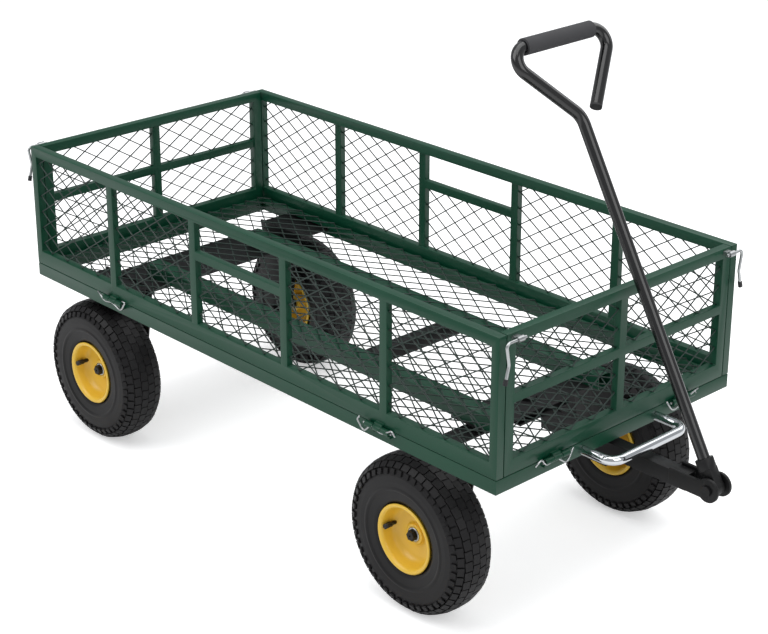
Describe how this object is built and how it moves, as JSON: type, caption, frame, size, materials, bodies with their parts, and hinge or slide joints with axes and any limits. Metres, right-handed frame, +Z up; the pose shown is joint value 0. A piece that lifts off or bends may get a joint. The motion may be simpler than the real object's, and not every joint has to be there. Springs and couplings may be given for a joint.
{
  "type": "tipping garden cart",
  "caption": "Four-wheeled pull-along garden cart with a tipping mesh-sided bed, fold-down panels and a steering pull handle.",
  "frame": {"origin": "on the floor, midway along, across and under the cart's bounding box", "axes": "+X forward to the pull handle, +Y to the cart's left, +Z up"},
  "size_m": [1.3906, 0.562, 0.8879],
  "materials": {
    "green_enamel": "gloss green enamel on welded steel",
    "black_enamel": "black powder coat on steel",
    "yellow_enamel": "yellow enamel on pressed steel",
    "tyre_rubber": "moulded tyre rubber",
    "zinc_plate": "bright zinc plate on steel",
    "chrome_plate": "chrome plate on steel tube",
    "grip_foam": "matt foam rubber",
    "cap_rubber": "moulded rubber cap"
  },
  "bodies": {
    "chassis": {"chassis_rail_left": "green_enamel", "chassis_rail_right": "green_enamel", "chassis_cross_bar": "black_enamel", "rear_axle_carriage": "black_enamel", "rear_axle": "black_enamel", "front_cross_plate": "black_enamel", "kingpin": "black_enamel"},
    "steering": {"turntable_plate": "black_enamel", "front_axle_carriage": "black_enamel", "front_axle": "black_enamel", "drawbar": "black_enamel", "drawbar_cheeks": "black_enamel", "handle_bolt": "black_enamel"},
    "pull_handle": {"handle_tube": "black_enamel", "handle_grip": "grip_foam", "handle_end_cap": "cap_rubber", "handle_socket": "black_enamel"},
    "bed": {"bed_frame": "green_enamel", "bed_floor_mesh": "green_enamel", "bed_pivot_arm_left": "black_enamel", "bed_pivot_arm_right": "black_enamel", "release_bar": "chrome_plate", "bed_hinge_knuckles": "green_enamel", "hinge_pins": "zinc_plate", "panel_front_frame": "green_enamel", "panel_front_mesh": "green_enamel", "latch_barrels_front": "zinc_plate", "latch_rods_front": "zinc_plate", "latch_caps_front": "cap_rubber"},
    "rear_panel": {"panel_rear_frame": "green_enamel", "panel_rear_mesh": "green_enamel", "latch_barrels_rear": "zinc_plate", "latch_rods_rear": "zinc_plate", "latch_caps_rear": "cap_rubber"},
    "left_panel": {"panel_left_frame": "green_enamel", "panel_left_mesh": "green_enamel"},
    "right_panel": {"panel_right_frame": "green_enamel", "panel_right_mesh": "green_enamel"},
    "wheel_front_left": {"tyre_front_left": "tyre_rubber", "rim_front_left": "yellow_enamel"},
    "wheel_front_right": {"tyre_front_right": "tyre_rubber", "rim_front_right": "yellow_enamel"},
    "wheel_rear_left": {"tyre_rear_left": "tyre_rubber", "rim_rear_left": "yellow_enamel"},
    "wheel_rear_right": {"tyre_rear_right": "tyre_rubber", "rim_rear_right": "yellow_enamel"}
  },
  "joints": [
    {"name": "bed_tip", "type": "hinge", "parent": "chassis", "child": "bed", "pos_m": [-0.5257, 0, 0.13], "axis": [0, -1, 0], "range_deg": [0, 40]},
    {"name": "steering_turn", "type": "hinge", "parent": "chassis", "child": "steering", "pos_m": [0.3033, 0, 0.27], "axis": [0, 0, 1], "range_deg": [-25, 25]},
    {"name": "handle_pitch", "type": "hinge", "parent": "steering", "child": "pull_handle", "pos_m": [0.6763, 0, 0.266], "axis": [0, 1, 0], "range_deg": [0, 140]},
    {"name": "left_panel_fold", "type": "hinge", "parent": "bed", "child": "left_panel", "pos_m": [-0.0937, 0.276, 0.3], "axis": [-1, 0, 0], "range_deg": [0, 150]},
    {"name": "right_panel_fold", "type": "hinge", "parent": "bed", "child": "right_panel", "pos_m": [-0.0937, -0.276, 0.3], "axis": [1, 0, 0], "range_deg": [0, 150]},
    {"name": "rear_panel_fold", "type": "hinge", "parent": "bed", "child": "rear_panel", "pos_m": [-0.6847, 0, 0.3], "axis": [0, -1, 0], "range_deg": [0, 90]},
    {"name": "wheel_front_left_spin", "type": "hinge", "parent": "steering", "child": "wheel_front_left", "pos_m": [0.3033, 0.238, 0.13], "axis": [0, 1, 0], "continuous": true},
    {"name": "wheel_front_right_spin", "type": "hinge", "parent": "steering", "child": "wheel_front_right", "pos_m": [0.3033, -0.238, 0.13], "axis": [0, 1, 0], "continuous": true},
    {"name": "wheel_rear_left_spin", "type": "hinge", "parent": "chassis", "child": "wheel_rear_left", "pos_m": [-0.5257, 0.238, 0.13], "axis": [0, 1, 0], "continuous": true},
    {"name": "wheel_rear_right_spin", "type": "hinge", "parent": "chassis", "child": "wheel_rear_right", "pos_m": [-0.5257, -0.238, 0.13], "axis": [0, 1, 0], "continuous": true}
  ]
}
